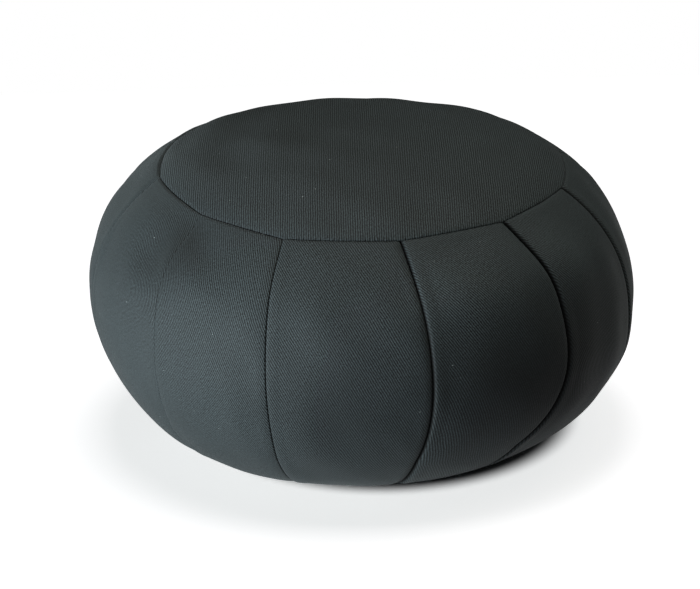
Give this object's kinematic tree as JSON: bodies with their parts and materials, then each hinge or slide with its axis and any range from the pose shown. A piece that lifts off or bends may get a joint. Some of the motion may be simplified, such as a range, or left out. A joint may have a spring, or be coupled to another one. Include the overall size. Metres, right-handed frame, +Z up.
{
  "type": "zafu meditation cushion",
  "caption": "Round stuffed floor cushion with a domed top panel, gored and seamed sides that swell at the belly, and a flat underside.",
  "frame": {"origin": "middle of the footprint, on the surface that the cushion rests on", "axes": "+Z up through the middle of the round top panel; -Y is the side that faces the camera in the picture, and +X is to its right"},
  "size_m": [0.3558, 0.3556, 0.2032],
  "materials": {
    "cotton_twill": "matte black cotton twill with a fine raised wale"
  },
  "bodies": {
    "root": {"top_panel": "cotton_twill", "side_panel_01": "cotton_twill", "side_panel_02": "cotton_twill", "side_panel_03": "cotton_twill", "side_panel_04": "cotton_twill", "side_panel_05": "cotton_twill", "side_panel_06": "cotton_twill", "side_panel_07": "cotton_twill", "side_panel_08": "cotton_twill", "side_panel_09": "cotton_twill", "side_panel_10": "cotton_twill", "side_panel_11": "cotton_twill", "side_panel_12": "cotton_twill", "bottom_panel": "cotton_twill"}
  },
  "joints": []
}
